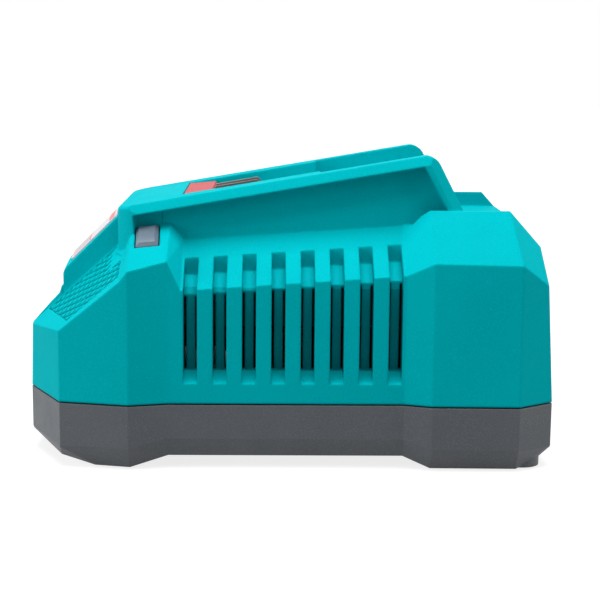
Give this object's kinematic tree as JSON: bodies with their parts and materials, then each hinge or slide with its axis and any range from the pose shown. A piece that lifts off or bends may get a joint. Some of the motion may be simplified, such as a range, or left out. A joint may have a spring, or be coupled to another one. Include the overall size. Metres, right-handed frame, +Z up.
{
  "type": "power tool battery charger",
  "caption": "Mains bench charger with a sloping slide-in battery dock, terminal blades, ribbed side vents, status windows and a stepped base.",
  "frame": {"origin": "centre of the footprint, on the surface that the feet stand on", "axes": "+X from the label end to the open end of the dock, +Y to the left side, +Z up"},
  "size_m": [0.17, 0.101, 0.0994],
  "materials": {
    "housing_teal": "fine grained moulded plastic",
    "housing_grey": "fine grained moulded plastic",
    "badge_white": "satin printed label plate",
    "lens_grey": "translucent moulded window",
    "led_clear": "clear epoxy",
    "terminal_red": "moulded terminal plastic",
    "contact_metal": "nickel plated brass",
    "board_green": "solder mask on glass laminate",
    "screw_steel": "zinc plated",
    "bush_rubber": "black rubber",
    "foot_rubber": "black rubber",
    "core_ferrite": "dark ferrite",
    "winding_tape": "polyester tape over copper",
    "sink_aluminium": "extruded, plain",
    "package_black": "moulded epoxy",
    "capacitor_sleeve": "shrunk sleeve over aluminium",
    "winding_copper": "enamelled copper wire",
    "film_capacitor": "moulded box",
    "fuse_metal": "glass tube with plated caps",
    "connector_nylon": "natural nylon",
    "lead_red": "insulated wire",
    "lead_black": "insulated wire"
  },
  "bodies": {
    "root": {"upper_housing": "housing_teal", "lower_housing": "housing_grey", "badge_plate": "badge_white", "status_lens_left": "lens_grey", "status_lens_right": "lens_grey", "status_led_left": "led_clear", "status_led_right": "led_clear", "terminal_block": "terminal_red", "positive_blade": "contact_metal", "negative_blade": "contact_metal", "signal_blades": "contact_metal", "terminal_board": "board_green", "terminal_board_screws": "screw_steel", "cord_inlet_bush": "bush_rubber", "rubber_feet": "foot_rubber", "housing_screws": "screw_steel", "main_board": "board_green", "main_board_screws": "screw_steel", "transformer_core": "core_ferrite", "transformer_winding": "winding_tape", "primary_heat_sink": "sink_aluminium", "switching_transistor": "package_black", "output_heat_sink": "sink_aluminium", "output_rectifier": "package_black", "bulk_capacitor": "capacitor_sleeve", "output_capacitors": "capacitor_sleeve", "output_inductor": "winding_copper", "common_mode_choke": "winding_copper", "suppression_capacitor": "film_capacitor", "bridge_rectifier": "package_black", "mains_fuse": "fuse_metal", "mains_connector": "connector_nylon", "positive_lead": "lead_red", "negative_lead": "lead_black"}
  },
  "joints": []
}
